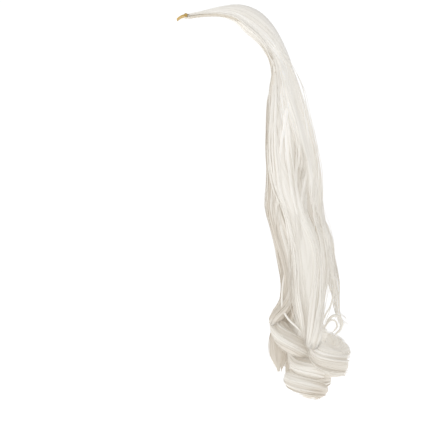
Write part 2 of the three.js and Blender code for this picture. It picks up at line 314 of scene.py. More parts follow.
leftCourses = {name: lockCourse(lock) for name, lock in locks.items()}
rightCourses = {name: lockCourse(turnOver(locks[name], *move)) for name, move in turnedOver.items()}

# Thin layers that fill the creases between two locks: the locks, the share of the way from the
# first to the second, the width and the thickness.
layers = {
    "outerCrease": ("main", "outer", 0.5, 34, 13),
    "neckCrease": ("neck", "main", 0.45, 24, 11),
    "innerCrease": ("neck", "inner", 0.5, 28, 12),
}
middleLayer = (0.5, 34, 11)
layerShape = {"grows": (30, 150), "rootWidth": 0.4, "rootThick": 0.2}


# Where two courses are mixed, the way along and the way out are brought back to length 1.
def evened(table):
    table[..., alongAt] = unit(table[..., alongAt])
    table[..., facingAt] = unit(table[..., facingAt])
    return table


# A course part way between two others, as far as both hang free. It starts thin under the crown.
def courseBetween(first, second, share, width, thick):
    shape = layerShape
    last = min(first["fallEnd"], second["fallEnd"])
    length = np.linspace(0, last, lockShape["samples"])
    table = readAt(first, length) * (1 - share)
    table = evened(table + readAt(second, length) * share)
    grown = smooth(length, *shape["grows"])
    table[:, widthAt] = width * upFrom(shape["rootWidth"], grown)
    table[:, thickAt] = thick * upFrom(shape["rootThick"], grown)
    face = first["face"] * (1 - share) + second["face"] * share
    return {"length": length, "table": table, "face": face, "fallEnd": last}


for courses in (leftCourses, rightCourses):
    for name, (first, second, *measures) in layers.items():
        courses[name] = courseBetween(courses[first], courses[second], *measures)
rightCourses["middleBack"] = courseBetween(leftCourses["back"], rightCourses["back"], *middleLayer)

# How far along the fall's middle each place is, counted from where the locks have their roots.
placeGrid = np.linspace(0, lastSection, 500)
spineLength = lengthAlong(fallPoint(placeGrid, 0 * placeGrid, 0 * placeGrid))
spineLength = spineLength - np.interp(lockShape["rootPlace"][0], placeGrid, spineLength)
crownLength = -spineLength[0]


# Hair

# How far a course is curled: 1 where the axis of its ringlet is fullCurl off or more.
fullCurl = 15


def curled(table):
    return np.clip(table[..., curlAt] / fullCurl, 0, 1)


# A place in a lock's oval, off its middle: across and out by the oval, and in a ringlet drawn towards
# the axis at the edges, so that the ringlet is round like a barrel.
barrel = 0.4


def lockOffset(read, cosine, sine, inward):
    across = np.cross(read[..., facingAt], read[..., alongAt])
    wide = read[..., widthAt] / 2 * cosine
    drawn = curled(read) * barrel * np.abs(wide) * np.abs(cosine)
    deep = read[..., thickAt] / 2 * sine - drawn - inward * read[..., curlAt]
    return across * wide[..., None] + read[..., facingAt] * deep[..., None]


# How far along the course each step of a strand is. Steps are shorter on the crown and in the ringlet.
# There all strands step at the same places, so that none cuts through another, and the steps above
# share out what is left.
stepping = {"crownEnd": 60, "crownDensity": 1.3, "ringletDensity": 1.4, "beforeRinglet": 30}


def stepsAlong(course, start, end, steps):
    shape = stepping
    free = course["length"] > shape["crownEnd"]
    length = np.concatenate([[-2 * crownLength, shape["crownEnd"]], course["length"][free]])
    density = 1 + shape["ringletDensity"] * np.interp(length, course["length"], curled(course["table"]))
    density = np.where(length <= shape["crownEnd"], shape["crownDensity"], density)
    count = np.concatenate([[0], np.cumsum(np.diff(length) * density[1:])])
    first = np.interp(start, length, count)[:, None]
    last = np.interp(end, length, count)[:, None]
    gap = (last.max() - first.min()) / (steps - 1)
    last = np.floor(last / gap) * gap
    bend = np.interp(course["fallEnd"] - shape["beforeRinglet"], length, count)
    bend = np.minimum(np.ceil(bend / gap) * gap, last)
    left = steps - 1 - np.arange(steps)
    curling = np.round((last - bend) / gap)
    above = first + (bend - first) * np.arange(steps) / (steps - 1 - curling)
    return np.interp(np.where(left < curling, last - gap * left, above), count, length)


# Strands of a lock: each sways with its clump round its place in the lock's oval, and some cross over
# from a neighbour. On the crown each lies on the fall at its own angle, and the two ways are mixed as
# the lock comes free. A narrow lock or a ringlet leaves less room, and a crowded bend less ease.
strandShape = {
    "wave": 160, "second": 0.5, "swingPace": 2.3, "swellPace": 2.7, "swell": 0.3, "crossesIn": 170,
    "crownSway": 0.25, "comesFree": (20, 130), "lift": 2.4, "facing": 3,
    "crowdedPace": 1.4, "leastEase": 0.08, "fullRoom": 26, "leastRoom": 0.25, "ringletRoom": 0.3,
}


def strandPaths(course, seat, steps):
    shape = strandShape
    at = stepsAlong(course, seat["start"], seat["end"], steps)
    share = (at - at[:, :1]) / (at[:, -1:] - at[:, :1])
    waves = seat["pace"][..., None] * at / shape["wave"] + seat["phase"][..., None]
    swing = np.sin(waves[0]) + shape["second"] * np.sin(shape["swingPace"] * waves[1])
    swell = np.sin(waves[2]) + shape["second"] * np.sin(shape["swellPace"] * waves[3])
    swing = seat["sway"] * swing
    radius = seat["radius"][:, None] * (1 + shape["swell"] * seat["sway"] * swell)
    around = seat["angle"][:, None] + swing
    read = readAt(course, np.maximum(at, 0))
    if seat["neighbour"] is not None:
        other = readAt(seat["neighbour"], np.maximum(at, 0))
        crossing = smooth(at.T, seat["leaves"], seat["leaves"] + shape["crossesIn"])
        stay = np.where(seat["crosses"], crossing, 1).T[..., None]
        read = evened(other * (1 - stay) + read * stay)
    inLock = lockOffset(read, radius * np.cos(around), radius * np.sin(around), seat["inward"][:, None])
    place = np.interp(at, spineLength, placeGrid)
    onCrown = seat["crownAngle"][:, None] + shape["crownSway"] * swing
    middle = fallPoint(place, 0 * place, 0 * place)
    reach = seat["crownRadius"][:, None]
    onFall = fallPoint(place, reach * np.cos(onCrown), reach * np.sin(onCrown))
    free = smooth(at, *shape["comesFree"])[..., None]
    path = offDome(onFall * (1 - free) + (read[..., pointAt] + inLock) * free, shape["lift"])
    out = (onFall - middle) * (1 - free) + (inLock + read[..., facingAt] * shape["facing"]) * free
    step = np.gradient(path, axis=1)
    tangent = unit(step)
    out = unit(out - tangent * np.sum(out * tangent, axis=-1, keepdims=True))
    pace = np.sum(step * read[..., alongAt], axis=-1) / np.gradient(at, axis=1)
    ease = np.clip(shape["crowdedPace"] * pace, shape["leastEase"], 1)
    ease = 1 - free[..., 0] * (1 - ease)
    room = np.clip(read[..., widthAt] / shape["fullRoom"], shape["leastRoom"], 1)
    room = room * (1 - shape["ringletRoom"] * curled(read))
    return path, np.cross(out, tangent), out, share, room * ease, ease


# How thick a strand is along its length: it grows from its root and draws in to a fine tip.
taperShape = {"grownAt": 0.12, "tipLoss": 0.93, "tipPower": 1.5}


def strandTaper(share, root, tipFrom):
    grown = upFrom(root, smooth(share, 0, taperShape["grownAt"]))
    return grown * (1 - taperShape["tipLoss"] * smooth(share, tipFrom, 1) ** taperShape["tipPower"])


print("courses:", len(leftCourses) + len(rightCourses))


# Materials

# A node with its settings, and a value or a link for each socket named.
def node(tree, kind, sockets=None, **settings):
    made = tree.nodes.new(kind)
    for key, value in settings.items():
        setattr(made, key, value)
    for key, value in (sockets or {}).items():
        if isinstance(value, bpy.types.NodeSocket):
            tree.links.new(value, made.inputs[key])
        else:
            made.inputs[key].default_value = value
    return made


# One step of arithmetic on links and numbers.
def worked(tree, operation, *values):
    return node(tree, "ShaderNodeMath", dict(enumerate(values)), operation=operation).outputs[0]


# Noise at a scale, from 0 to 1.
def noiseAt(tree, place, scale, detail, **sockets):
    sockets = {"Vector": place, "Scale": scale, "Detail": detail, **sockets}
    return node(tree, "ShaderNodeTexNoise", sockets).outputs["Fac"]


# A colour a share of the way from low to high.
def mixed(tree, share, low, high):
    return node(tree, "ShaderNodeMix", {"Factor": share, 6: low, 7: high}, data_type="RGBA").outputs[2]


# A normal that a height raises.
def raised(tree, height, strength, distance):
    sockets = {"Height": height, "Strength": strength, "Distance": distance}
    return node(tree, "ShaderNodeBump", sockets).outputs[0]


# A new material and the settings of its surface that don't vary.
def surface(name, settings):
    material = bpy.data.materials.new(name)
    material.use_nodes = True
    for key, value in settings.items():
        material.node_tree.nodes["Principled BSDF"].inputs[key].default_value = value
    return material, material.node_tree


# The surface's links: a colour for one socket or more, and a normal.
def cover(tree, colour, normal, *others):
    sockets = tree.nodes["Principled BSDF"].inputs
    tree.links.new(normal, sockets["Normal"])
    for key in ("Base Color", *others):
        tree.links.new(colour, sockets[key])


# Hair: streaks of noise along each strand, mixed with its tone and the painted shade and light in it, go
# from a deep cream to a pale one and raise fine lines. The hair also glows a little in the same colour:
# painted light that stands in for what shines through.
hairLook = {
    "along": 14, "streak": (0.6, -0.2), "toneAndShade": 0.8,
    "tones": (
        (0.0, (0.55, 0.50, 0.43, 1)), (0.3, (0.70, 0.672, 0.62, 1)),
        (0.65, (0.80, 0.775, 0.73, 1)), (1.0, (0.885, 0.87, 0.84, 1)),
    ),
    "surface": {"Roughness": 0.36, "Specular IOR Level": 0.4, "Emission Strength": 0.24},
}


def hairMaterial(name, streaks):
    look = hairLook
    material, tree = surface(name, look["surface"])
    toneAndShade = node(tree, "ShaderNodeAttribute", attribute_name="toneAndShade").outputs["Fac"]
    strandMap = node(tree, "ShaderNodeUVMap", uv_map="strandMap").outputs["UV"]
    place = node(tree, "ShaderNodeVectorMath", {
        0: strandMap, 1: (streaks, look["along"], 1),
    }, operation="MULTIPLY").outputs[0]
    streak = noiseAt(tree, place, 1.0, 3.0, Roughness=0.6)
    varied = worked(tree, "MULTIPLY_ADD", streak, *look["streak"])
    share = worked(tree, "MULTIPLY_ADD", toneAndShade, look["toneAndShade"], varied)
    ramp = node(tree, "ShaderNodeValToRGB", {"Fac": share})
    for position, _ in look["tones"][1:-1]:
        ramp.color_ramp.elements.new(position)
    for element, (position, colour) in zip(ramp.color_ramp.elements, look["tones"]):
        element.position = position
        element.color = colour
    cover(tree, ramp.outputs["Color"], raised(tree, streak, 0.2, 0.0004), "Emission Color")
    return material


bodyHair = hairMaterial("hairBody", 90)
wispHair = hairMaterial("hairWisp", 9)
fineHair = hairMaterial("hairFine", 1)


# Any other surface: noise at one scale goes between two colours and raises the surface a little.
def grained(name, low, high, scale, rise, settings):
    material, tree = surface(name, settings)
    place = node(tree, "ShaderNodeTexCoord").outputs["Object"]
    noise = noiseAt(tree, place, scale, 5.0)
    cover(tree, mixed(tree, noise, low, high), raised(tree, noise, 0.4, rise))
    return material


# Woven cloth: two sets of bands at right angles for the yarns, and noise for their unevenness.
def wovenMaterial(name, low, high, yarn):
    material, tree = surface(name, {"Roughness": 0.85, "Sheen Weight": 0.2})
    place = node(tree, "ShaderNodeTexCoord").outputs["Object"]
    sets = [
        node(tree, "ShaderNodeTexWave", {
            "Vector": place, "Scale": np.pi / 10 / yarn, "Distortion": 0.6, "Detail": 1.0,
        }, bands_direction=way).outputs["Fac"]
        for way in ("X", "Y")
    ]
    weave = worked(tree, "MULTIPLY", *sets)
    both = worked(tree, "MULTIPLY_ADD", weave, 0.6, noiseAt(tree, place, 700.0, 3.0))
    share = node(tree, "ShaderNodeMapRange", {
        "Value": both, "From Min": 0.3, "From Max": 1.2,
    }).outputs["Result"]
    cover(tree, mixed(tree, share, low, high), raised(tree, weave, 0.6, 0.0003))
    return material


tabCloth = wovenMaterial("tabCloth", (0.62, 0.55, 0.45, 1), (0.84, 0.79, 0.70, 1), 0.0008)
thread = grained("thread", (0.72, 0.66, 0.56, 1), (0.88, 0.84, 0.77, 1), 2600.0, 0.0001, {
    "Roughness": 0.6,
})
gold = grained("gold", (0.40, 0.25, 0.06, 1), (0.70, 0.50, 0.19, 1), 700.0, 0.00005, {
    "Metallic": 1.0, "Roughness": 0.3,
})
print("materials made")


# The combed crown and the core of the fall: rings of the fall's own sections drawn in further down.
crown = {
    "sides": 150, "steps": 190, "lastPlace": 14.6, "lift": 2.1, "drift": 0.9,
    "fillAt": (0, 5, 7, 9, 12, 13, 14, 14.6), "fill": (0.98, 0.95, 0.85, 0.78, 0.68, 0.64, 0.5, 0.1),
    "ridges": ((11, 0.020), (23, 0.018), (41, 0.014), (67, 0.008)),
    "toneAndShade": {"own": (0.55, 0.55)}, "under": 1.6,
}
wander = {"long": 70, "short": 31, "shortShare": 0.6}


# Fine combed ridges on rings: cosines round the ring, a count and a depth for each set, that wander
# by a drift as they run along.
def ridged(turn, along, ridges, drift):
    total = np.zeros((len(along), len(turn)))
    for count, depth in ridges:
        phase = rng.uniform(0, 2 * np.pi, 3)
        moved = np.sin(along / wander["long"] + phase[0])
        moved = moved + wander["shortShare"] * np.sin(along / wander["short"] + phase[1])
        total += depth * np.cos(count * turn[None, :] + drift * moved[:, None] + phase[2])
    return total


# The crown's rings: the fall's sections at a share of their size, with the ridges on it.
def crownRings(shape):
    place = np.linspace(0, shape["lastPlace"], shape["steps"])[:, None]
    turn = roundTurn(shape["sides"])
    fill = np.interp(place, shape["fillAt"], shape["fill"])
    along = np.interp(place[:, 0], placeGrid, spineLength)
    radius = fill * (1 + ridged(turn, along, shape["ridges"], shape["drift"]))
    place = np.broadcast_to(place, radius.shape)
    return offDome(fallPoint(place, radius * np.cos(turn), radius * np.sin(turn)), shape["lift"])[None]


# Zones where the hair's tone changes: ramps down the fall and in y, each from 0 at its first number to 1
# at its second, and the tone that the zone adds where a lock has no value of its own for it. Lower down,
# at the foot, in the recess, in the hollow and at the edge of the bottom roll they add painted shade, at
# the ringlet tops painted light, and towards the ends they make the hair darker.
toneAndShadeZones = {
    "lower": {"down": [(130, 330)]},
    "foot": {"down": [(360, 420)]},
    "recess": {"down": [(430, 455), (490, 470)], "y": [(125, 100)]},
    "hollow": {"down": [(150, 200), (265, 215)], "y": [(80, 100), (124, 106)], "toneAndShade": -0.4},
    "ringletTop": {"down": [(428, 440), (466, 452)], "y": [(122, 136)], "toneAndShade": 0.4},
    "ends": {"down": [(480, 520)], "toneAndShade": -0.25},
    "rollEdge": {"down": [(495, 515)], "y": [(112, 128)], "toneAndShade": -0.3},
}
# Painted shade on the inner side, which starts at a share of the half depth and comes in over another,
# and painted light that makes the hair under the crown paler, less so on that side.
innerShade = {
    "down": [(0, 90), (430, 400)], "toneAndShade": -0.42,
    "widens": (250, 380), "start": (0.5, 0.35), "over": (0.5, 0.45),
}
underCrownLight = {"down": [(5, 60), (220, 140)], "toneAndShade": 0.1, "innerShade": 3}
# The sections from here on go down.
falling = fallSections[4:]


# How much points are in a zone: the product of its ramps.
def inZone(zone, y, down):
    share = np.ones_like(down)
    for value, key in ((down, "down"), (y, "y")):
        for ramp in zone.get(key, []):
            share = share * smooth(value, *ramp)
    return share


# The tone of points of the hair: each strand's own, and the painted shade and light that the zones add;
# under scales the painted shade on the inner side.
def toneAndShadeAlong(rings, toneAndShade, under=1):
    y = rings[..., 1]
    down = -rings[..., 2]
    total = rng.uniform(*toneAndShade["own"], len(rings))[:, None, None]
    for name, zone in toneAndShadeZones.items():
        total = total + toneAndShade.get(name, zone.get("toneAndShade", 0)) * inZone(zone, y, down)
    middle = np.interp(down, -falling[:, 1], falling[:, 0])
    halfDepth = np.interp(down, -falling[:, 1], falling[:, 2]) / 2
    wider = smooth(down, *innerShade["widens"])
    start, over = (np.interp(wider, (0, 1), innerShade[key]) for key in ("start", "over"))
    towards = np.clip(((middle - y) / halfDepth - start) / over, 0, 1)
    towards = under * towards * inZone(innerShade, y, down)
    paler = inZone(underCrownLight, y, down) * (1 - underCrownLight["innerShade"] * towards)
    return total + underCrownLight["toneAndShade"] * paler + innerShade["toneAndShade"] * towards


crownHair = crownRings(crown)
# The crown's tone, with stronger painted shade on its inner side.
crownToneAndShade = toneAndShadeAlong(crownHair, crown["toneAndShade"], crown["under"])
hairPieces = [tubes("hair_crown", crownHair, crownToneAndShade, bodyHair)]

# What grows on each lock: how many of each kind; the middle and spread of their angle on the crown, or
# None where they start inside the fall; the neighbour that some come from, and how far down those
# cross over; where the body ends and is drawn in from; where the wisps end and start to taper; and
# the range of tones, with the painted shade and light that zones add. The lower ranges of the outer,
# back, inner, neck, hanging and crease locks are painted shade as well.
plain = {
    "coils": 0, "flyaways": 0, "crown": None, "leaves": (60, 220), "tip": 0.75,
    "body": (0.985, 0.8), "ends": (0.85, 0.998),
}
crease = {**plain, "wisps": 14, "strands": 20, "body": (1.0, 0.8), "ends": (0.6, 0.998)}
growth = {
    "main": {
        **plain, "wisps": 46, "strands": 84, "coils": 22, "flyaways": 7, "crown": (2, 26),
        "from": "outer", "toneAndShade": {"own": (0.6, 0.92), "lower": -0.36, "foot": -0.22},
    },
    "outer": {
        **plain, "wisps": 34, "strands": 68, "coils": 20, "flyaways": 7, "crown": (46, 26),
        "from": "back", "leaves": (60, 240), "ends": (0.8, 0.998),
        "toneAndShade": {"own": (0.36, 0.7), "lower": -0.14, "foot": -0.05},
    },
    "back": {
        **plain, "wisps": 30, "strands": 60, "flyaways": 7, "crown": (80, 24),
        "from": "outer", "leaves": (60, 240), "body": (0.7, 0.5), "ends": (0.52, 0.88),
        "toneAndShade": {"own": (0.5, 0.85), "lower": -0.2},
    },
    "neck": {
        **plain, "wisps": 32, "strands": 50, "coils": 24, "crown": (-14, 14),
        "from": "main", "leaves": (70, 240), "toneAndShade": {"own": (0.1, 0.5), "foot": -0.2},
    },
    "hanging": {
        **plain, "wisps": 22, "strands": 38,
        "from": "neck", "leaves": (120, 320), "body": (1.0, 0.95), "ends": (0.95, 0.998), "tip": 0.92,
        "toneAndShade": {"own": (-0.1, 0.25), "lower": -0.25},
    },
    "inner": {
        **plain, "wisps": 32, "strands": 44, "coils": 26,
        "from": "neck", "leaves": (170, 310), "body": (0.985, 0.93), "ends": (0.95, 0.998), "tip": 0.9,
        "toneAndShade": {"own": (0.34, 0.74), "lower": -0.3, "recess": -0.25},
    },
    "middleBack": {
        **plain, "wisps": 20, "strands": 26,
        "from": "back", "body": (0.84, 0.6), "ends": (0.6, 0.86),
        "toneAndShade": {"own": (0.6, 0.95), "lower": -0.3},
    },
    "outerCrease": {**crease, "from": "main", "toneAndShade": {"own": (0.1, 0.45), "lower": -0.2}},
    "innerCrease": {**crease, "from": "neck", "toneAndShade": {"own": (0, 0.4), "lower": -0.2}},
    "neckCrease": {**crease, "from": "neck", "toneAndShade": {"own": (-0.1, 0.35)}},
}

# The locks' bodies: ovals along each course with shallow grooves, lowered under the wisps in the
# ringlet and drawn in at the end.
body = {
    "sides": 36, "steps": 96, "size": 0.95, "lowered": 0.13, "endLoss": 0.75, "lift": 2.3, "drift": 1.2,
    "ridges": ((4, 0.02), (7, 0.02), (12, 0.016), (19, 0.01)),
}


def bodyRings(course, last, drawnFrom):
    shape = body
    at = stepsAlong(course, np.zeros(1), course["length"][-1:] * last, shape["steps"])[0]
    read = readAt(course, at)[:, None]
    turn = roundTurn(shape["sides"])
    drawn = 1 - shape["endLoss"] * smooth(at / at[-1], drawnFrom, 1)[:, None]
    lowered = 1 - shape["lowered"] * curled(read)
    size = shape["size"] * drawn * (1 + ridged(turn, at, shape["ridges"], shape["drift"]))
    offset = lockOffset(read, size * np.cos(turn), size * lowered * np.sin(turn), 0)
    return offDome(read[..., pointAt] + offset, shape["lift"])[None]


# The core of a ringlet: a fat oval that winds between the lock and the axis, by shares of the radius,
# so that no ringlet is hollow.
core = {"before": 40, "end": 0.97, "wide": 0.42, "least": 1.5, "thick": 0.4, "inward": 0.5}


def coreRings(course):
    last = course["length"][-1] * core["end"]
    at = np.linspace(course["fallEnd"] - core["before"], last, body["steps"])
    read = readAt(course, at)[:, None]
    turn = roundTurn(body["sides"])
    size = 1 + ridged(turn, at, body["ridges"], body["drift"])
    across = np.cross(read[..., facingAt], read[..., alongAt])
    curl = read[..., curlAt]
    wide = core["wide"] * read[..., widthAt] * size * np.cos(turn)
    deep = (core["least"] + core["thick"] * curl) * size * np.sin(turn) - core["inward"] * curl
    return (read[..., pointAt] + across * wide[..., None] + read[..., facingAt] * deep[..., None])[None]


# Where each strand of a lock sits. Strands are gathered in clumps round the lock's oval, highest in
# the middle, that sway together. They start on the crown or inside the fall.
seating = {
    "clumpShift": 0.3, "clumpFall": 0.35, "sway": 0.24, "crossing": 0.42,
    "pace": (2.6, 4.6, 0.05), "phase": (0, 2 * np.pi, 0.2),
    "insideStart": (0, 60), "insideRadius": 0.7, "topFrom": -0.35, "topStart": (0.35, 0.99),
    "topRadius": (0.94, 1.0), "underRadius": 0.8, "crownSpread": 0.05,
}


# Four values for each clump, in a range, and a little of each strand's own.
def perClump(clumps, clump, low, high, spread):
    return rng.uniform(low, high, (4, clumps))[:, clump] + rng.normal(0, spread, (4, len(clump)))


def seats(courses, name, count, kind):
    shape = seating
    grown = growth[name]
    course = courses[name]
    clumps = kind.get("clumps", count)
    shift = rng.uniform(-shape["clumpShift"], shape["clumpShift"], clumps)
    middles = 2 * np.pi * (np.arange(clumps) + shift) / clumps
    clump = rng.integers(0, clumps, count)
    off = rng.normal(0, kind["gather"], count)
    seat = {
        "angle": middles[clump] + off,
        "radius": rng.uniform(*kind["radius"], count) - shape["clumpFall"] * off * off,
        "start": rng.uniform(*shape["insideStart"], count),
        "end": course["length"][-1] * rng.uniform(*grown["ends"], count),
        "inward": np.zeros(count),
        "sway": kind.get("sway", shape["sway"]),
        "pace": perClump(clumps, clump, *shape["pace"]),
        "phase": perClump(clumps, clump, *shape["phase"]),
        "neighbour": courses.get(grown["from"]),
        "crosses": rng.uniform(0, 1, count) < shape["crossing"],
        "leaves": rng.uniform(*grown["leaves"], count),
        "crownAngle": np.full(count, np.radians(course["face"])),
        "crownRadius": np.full(count, shape["insideRadius"]),
    }
    if grown["crown"] is None:
        return seat
    middle, spread = np.radians(grown["crown"])
    if courses is rightCourses:
        middle = np.pi - middle
    onTop = np.sin(seat["angle"]) > shape["topFrom"]
    seat["crownAngle"] = middle + spread * np.cos(seat["angle"])
    seat["crownAngle"] += rng.normal(0, shape["crownSpread"], count)
    seat["crownRadius"] = np.where(onTop, rng.uniform(*shape["topRadius"], count), shape["underRadius"])
    seat["start"] = np.where(onTop, -crownLength * rng.uniform(*shape["topStart"], count), seat["start"])
    return seat


# The kinds of strands. Wisps are flat and lie on the lock, narrower where it turns round an edge. Coils
# leave it above its ringlet and wind closer to the axis, so they fill it. Fine strands are round and
# lie above the wisps. Flyaways stand further off, sway more and keep to no clump. The right side has
# fewer wisps and fine strands.
kinds = {
    "wisps": {
        "steps": 68, "sides": 6, "clumps": 6, "gather": 0.35, "radius": (0.97, 1.015), "right": 0.7,
        "root": 0.35, "half": (2.6, 5.4), "halfOut": (0.45, 0.7), "edge": 0.4,
    },
    "coils": {
        "steps": 60, "sides": 6, "clumps": 5, "gather": 0.5, "radius": (0.5, 1.0), "right": 1,
        "inward": (0.2, 0.92), "before": (50, 130),
        "root": 0.3, "tip": 0.75, "half": (2.6, 4.6), "halfOut": (0.6, 1.0), "edge": 1,
    },
    "strands": {
        "steps": 56, "sides": 3, "clumps": 9, "gather": 0.4, "radius": (1.01, 1.09), "right": 0.7,
        "above": 0.03, "ends": (0.8, 0.998), "root": 0.5, "tip": 0.8, "half": (0.2, 0.36),
    },
    "flyaways": {
        "steps": 60, "sides": 3, "gather": 0.3, "radius": (1.08, 1.4), "right": 1,
        "above": 0.06, "sway": 0.4, "root": 0.5, "tip": 0.7, "half": (0.25, 0.42),
    },
}


def strandRings(courses, name, kind):
    shape = kinds[kind]
    course = courses[name]
    count = int(growth[name][kind] * (shape["right"] if courses is rightCourses else 1))
    seat = seats(courses, name, count, shape)
    seat["crownRadius"] += shape.get("above", 0)
    if kind == "coils":
        seat["inward"] = rng.uniform(*shape["inward"], count)
        seat["start"] = course["fallEnd"] - rng.uniform(*shape["before"], count)
        seat["crosses"] = np.zeros(count, bool)
    if kind == "strands":
        seat["end"] = course["length"][-1] * rng.uniform(*shape["ends"], count)
    path, across, out, share, room, ease = strandPaths(course, seat, shape["steps"])
    taper = strandTaper(share, shape["root"], shape.get("tip", growth[name]["tip"]))
    half = rng.uniform(*shape["half"], count)[:, None] * taper
    if "halfOut" not in shape:
        return ovalRings(path, across, out, half * ease, half * ease, shape["sides"])
    flat = upFrom(shape["edge"], np.abs(np.sin(seat["angle"])))[:, None]
    halfOut = rng.uniform(*shape["halfOut"], count)[:, None] * taper
    return ovalRings(path, across, out, half * flat * room, halfOut * ease, shape["sides"])


# Each kind of hair piece: its material, and what a lock has some of where it has this kind.
hairKinds = {
    "locks": (bodyHair, "wisps"), "cores": (bodyHair, "coils"), "wisps": (wispHair, "wisps"),
    "coils": (wispHair, "coils"), "strands": (fineHair, "strands"), "flyaways": (fineHair, "flyaways"),
}


def hairRings(courses, name, kind):
    if kind == "locks":
        return bodyRings(courses[name], *growth[name]["body"])
    if kind == "cores":
        return coreRings(courses[name])
    return strandRings(courses, name, kind)


for side, courses in (("left", leftCourses), ("right", rightCourses)):
    for kind, (material, needed) in hairKinds.items():
        names = [name for name in courses if growth[name][needed]]
        rings = [hairRings(courses, name, kind) for name in names]
        # Each piece's tone, with the painted shade and light of the zones.
        toneAndShade = [toneAndShadeAlong(made, growth[name]["toneAndShade"]) for name, made in zip(names, rings)]
        piece = tubes("hair_" + kind + "_" + side, np.concatenate(rings), np.concatenate(toneAndShade), material)
        hairPieces.append(piece)
        print("made:", piece.name, len(piece.data.polygons))

# Loose wisps that stand off the locks, each by its half width, its tone and its path, y, z and x.
loose = {
    "outerEdge": (0.8, 0.5, [
        (97, -75, 6), (105, -100, 8), (113, -127, 10), (121, -154, 10), (128, -182, 10),
        (133, -209, 8), (136, -239, 8), (136, -262, 8),
    ]),
    "outerEdgeTwin": (0.5, 0.5, [
        (100, -88, 12), (108, -114, 16), (116, -143, 18), (123, -172, 18), (129, -201, 16),
        (132, -232, 14),
    ]),
    "backEdge": (0.9, 0.4, [
        (143, -310, 10), (147, -337, 8), (153, -361, 8), (157, -381, 10), (158, -395, 10),
        (155, -409, 8), (150, -420, 4),
    ]),
    "hookTwin": (1.5, 0.4, [
        (136, -430, 8), (142, -420, 12), (148, -415, 12), (154, -417, 10), (156, -424, 8),
        (152, -430, 6), (145, -434, 4),
    ]),
    "hook": (2.2, 0.4, [
        (140, -424, 4), (145, -414, 10), (151, -409, 14), (158, -410, 14), (162, -417, 10),
        (161, -427, 6), (155, -434, 4), (149, -441, 6),
    ]),
    "gapCrossing": (1.3, 0.3, [
        (151, -345, 10), (152, -366, 12), (150, -383, 14), (146, -397, 14), (140, -408, 12),
        (136, -419, 10), (135, -432, 6),
    ]),
    "gapSecond": (0.5, 0.5, [
        (152, -372, 2), (150, -390, 0), (146, -404, 2), (141, -416, 4), (138, -430, 2),
    ]),
    "tipFill": (4.5, -0.15, [
        (88, -418, 12), (89, -436, 12), (86, -456, 10), (82, -472, 10), (80, -486, 10),
    ]),
    "tipFillTwin": (5.0, -0.15, [
        (95, -425, 4), (96, -443, 4), (94, -462, 4), (90, -480, 4), (86, -496, 4),
    ]),
    "cavityCrossing": (1.6, 0.5, [
        (86, -340, 26), (81, -372, 34), (81, -396, 36), (88, -411, 36), (101, -424, 36),
        (108, -432, 32),
    ]),
}
looseShape = {"steps": 60, "sides": 6, "root": 0.25, "tip": 0.65, "flat": 0.45}


# A curve through each path, as a flat oval that keeps its broad side across.
def looseRings(shape):
    share = np.linspace(0, 1, shape["steps"])
    rows = [np.array(points, float)[:, [2, 0, 1]] for _, _, points in loose.values()]
    paths = np.stack([through(points, share * (len(points) - 1)) for points in rows])
    half = np.array([width for width, _, _ in loose.values()])[:, None]
    half = half * strandTaper(share, shape["root"], shape["tip"])
    tangent = unit(np.gradient(paths, axis=1))
    out = unit(np.cross(tangent, np.cross((1, 0, 0), tangent)))
    return ovalRings(paths, np.cross(out, tangent), out, half, shape["flat"] * half, shape["sides"])


looseTone = np.array([toneAndShade for _, toneAndShade, _ in loose.values()])[:, None, None]
hairPieces.append(tubes("hair_loose", looseRings(looseShape), looseTone, wispHair))
for piece in hairPieces:
    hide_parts("hair")


# The cloth tab: a strip that lies on the dome from the comb back, with a thicker hem along both edges.
tab = {
    "steps": 90, "across": 30, "thick": 1.5, "hem": 3.2, "hemRise": 0.5, "hemSoft": 0.5,
    "edgePower": 14, "underLift": 0.05,
    "angles": (-19.6, -18.6, -9, 2, 16, 30, 36), "halfWidths": (10.5, 12, 13, 17, 21, 18, 11),
}
plainTone = np.array(0.5)


# A point on the dome: an angle back from the top, a way across, and a lift along the dome's normal.
def domePoint(angle, across, lift):
    along = np.radians(angle)
    side = np.arcsin(across / dome["breadth"])
    point = np.stack([np.sin(side), np.sin(along) * np.cos(side), np.cos(along) * np.cos(side)], axis=-1)
    axes = domeAxes(angle < 0, 0.0)
    return point * axes - domeTop + unit(point / axes) * lift[..., None]


# The tab's half width at an angle, through its outline.
def tabHalf(shape, angle):
    rows = np.array([shape["angles"], shape["halfWidths"]], float).T
    return through(rows[:, 1:], np.interp(angle, rows[:, 0], np.arange(len(rows))))[..., 0]


# The tab's rings: over the top and back under, as far apart as the cloth is thick, round at the edges.
def tabRings(shape):
    angle = np.linspace(shape["angles"][0], shape["angles"][-1], shape["steps"])[:, None]
    half = tabHalf(shape, angle)
    across = np.sin(np.linspace(-np.pi / 2, np.pi / 2, shape["across"]))
    fromEdge = half * (1 - np.abs(across))
    rounded = np.sqrt(np.clip(1 - np.abs(across) ** shape["edgePower"], 0, 1))
    inside = smooth(fromEdge, shape["hem"] - shape["hemSoft"], shape["hem"] + shape["hemSoft"])
    middle = (shape["thick"] - shape["hemRise"] * inside) / 2
    angle = np.broadcast_to(angle, middle.shape)
    top = domePoint(angle, half * across, middle + middle * rounded)
    under = domePoint(angle, half * across, middle - middle * rounded + shape["underLift"])
    return np.concatenate([top, under[:, ::-1]], axis=1)[None]


tabPiece = tubes("tab_cloth", tabRings(tab), plainTone, tabCloth)
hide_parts("base_tab")

# Stitches along the hems, on both faces: each rises out of the cloth, lies along it and goes back in.
stitch = {
    "spacing": 3.4, "length": 2.3, "half": 0.28, "steps": 6, "sides": 6, "mmPerDegree": 1.6,
    "fromFront": 2.2, "fromBack": 1.5, "fromHem": 0.8, "rise": 0.5, "topSunk": 0.35, "underSunk": 0.3,
}


